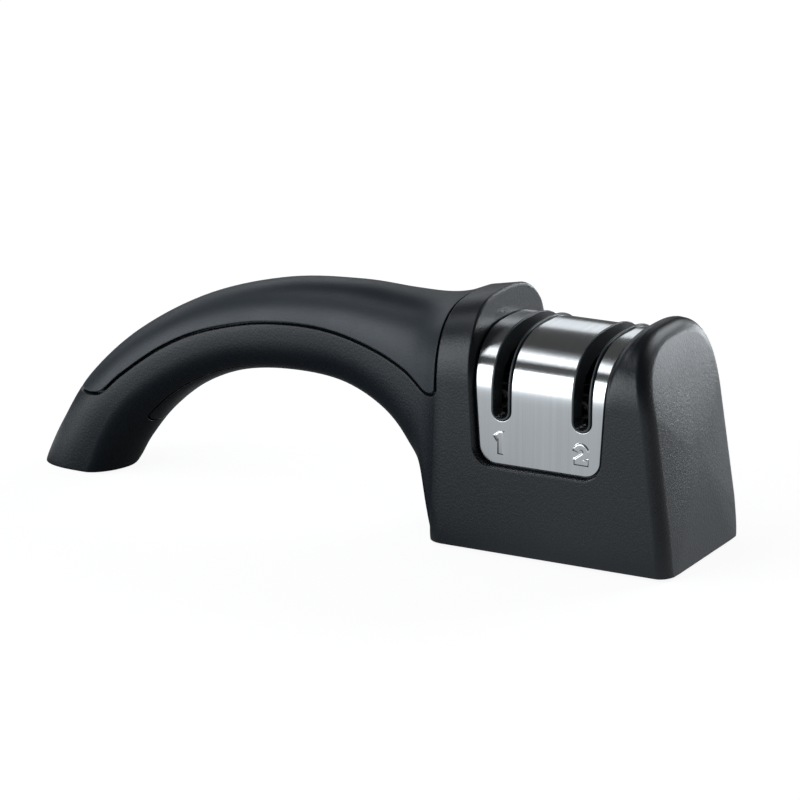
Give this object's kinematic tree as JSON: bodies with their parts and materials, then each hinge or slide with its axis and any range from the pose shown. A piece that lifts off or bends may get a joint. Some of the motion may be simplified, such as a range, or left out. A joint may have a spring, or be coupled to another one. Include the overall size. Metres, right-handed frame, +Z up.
{
  "type": "knife sharpener",
  "caption": "Hand-held knife sharpener: an arched handle flares into a head whose two knife slots each hold interleaved abrasive wheels.",
  "frame": {"origin": "on the table, under the middle of the object's box", "axes": "+X from the handle's tip to the head, +Y to the back, +Z up"},
  "size_m": [0.2176, 0.0516, 0.0718],
  "materials": {
    "housing_plastic": "fine moulded texture, black",
    "soft_grip": "soft-touch, matte black",
    "brushed_steel": "brushed over the arch",
    "gloss_plastic": "polished black",
    "inner_plastic": "as moulded, dark grey",
    "axle_steel": "ground",
    "coarse_diamond": "coarse diamond grit on steel",
    "fine_diamond": "fine diamond grit on steel",
    "bush_plastic": "natural acetal",
    "foot_rubber": "matte black"
  },
  "bodies": {
    "root": {"main_housing": "housing_plastic", "top_grip": "soft_grip", "underside_cover": "housing_plastic", "steel_saddle": "brushed_steel", "slot_liner_1": "gloss_plastic", "slot_liner_2": "gloss_plastic", "base_plate": "inner_plastic", "foot_1": "foot_rubber", "foot_2": "foot_rubber", "foot_3": "foot_rubber", "foot_4": "foot_rubber", "tip_pad": "foot_rubber", "base_screw_1": "axle_steel", "base_screw_2": "axle_steel", "base_screw_3": "axle_steel", "base_screw_4": "axle_steel", "wheel_cradle_1": "inner_plastic", "wheel_cradle_2": "inner_plastic", "bush_1_left_front": "bush_plastic", "bush_1_left_back": "bush_plastic", "bush_1_right_front": "bush_plastic", "bush_1_right_back": "bush_plastic", "bush_2_left_front": "bush_plastic", "bush_2_left_back": "bush_plastic", "bush_2_right_front": "bush_plastic", "bush_2_right_back": "bush_plastic"},
    "wheels_1_left": {"axle_1_left": "axle_steel", "wheel_1_left_1": "coarse_diamond", "wheel_1_left_2": "coarse_diamond", "wheel_1_left_3": "coarse_diamond", "spacer_1_left": "axle_steel", "thrust_washer_1_left": "axle_steel"},
    "wheels_1_right": {"axle_1_right": "axle_steel", "wheel_1_right_1": "coarse_diamond", "wheel_1_right_2": "coarse_diamond", "wheel_1_right_3": "coarse_diamond", "spacer_1_right": "axle_steel", "thrust_washer_1_right": "axle_steel"},
    "wheels_2_left": {"axle_2_left": "axle_steel", "wheel_2_left_1": "fine_diamond", "wheel_2_left_2": "fine_diamond", "wheel_2_left_3": "fine_diamond", "spacer_2_left": "axle_steel", "thrust_washer_2_left": "axle_steel"},
    "wheels_2_right": {"axle_2_right": "axle_steel", "wheel_2_right_1": "fine_diamond", "wheel_2_right_2": "fine_diamond", "wheel_2_right_3": "fine_diamond", "spacer_2_right": "axle_steel", "thrust_washer_2_right": "axle_steel"}
  },
  "joints": [
    {"name": "wheels_1_left_spin", "type": "hinge", "parent": "root", "child": "wheels_1_left", "pos_m": [0.04959, 0, 0.042], "axis": [0, 1, 0], "continuous": true},
    {"name": "wheels_1_right_spin", "type": "hinge", "parent": "root", "child": "wheels_1_right", "pos_m": [0.06087, 0, 0.042], "axis": [0, 1, 0], "continuous": true},
    {"name": "wheels_2_left_spin", "type": "hinge", "parent": "root", "child": "wheels_2_left", "pos_m": [0.07479, 0, 0.042], "axis": [0, 1, 0], "continuous": true},
    {"name": "wheels_2_right_spin", "type": "hinge", "parent": "root", "child": "wheels_2_right", "pos_m": [0.08607, 0, 0.042], "axis": [0, 1, 0], "continuous": true}
  ]
}
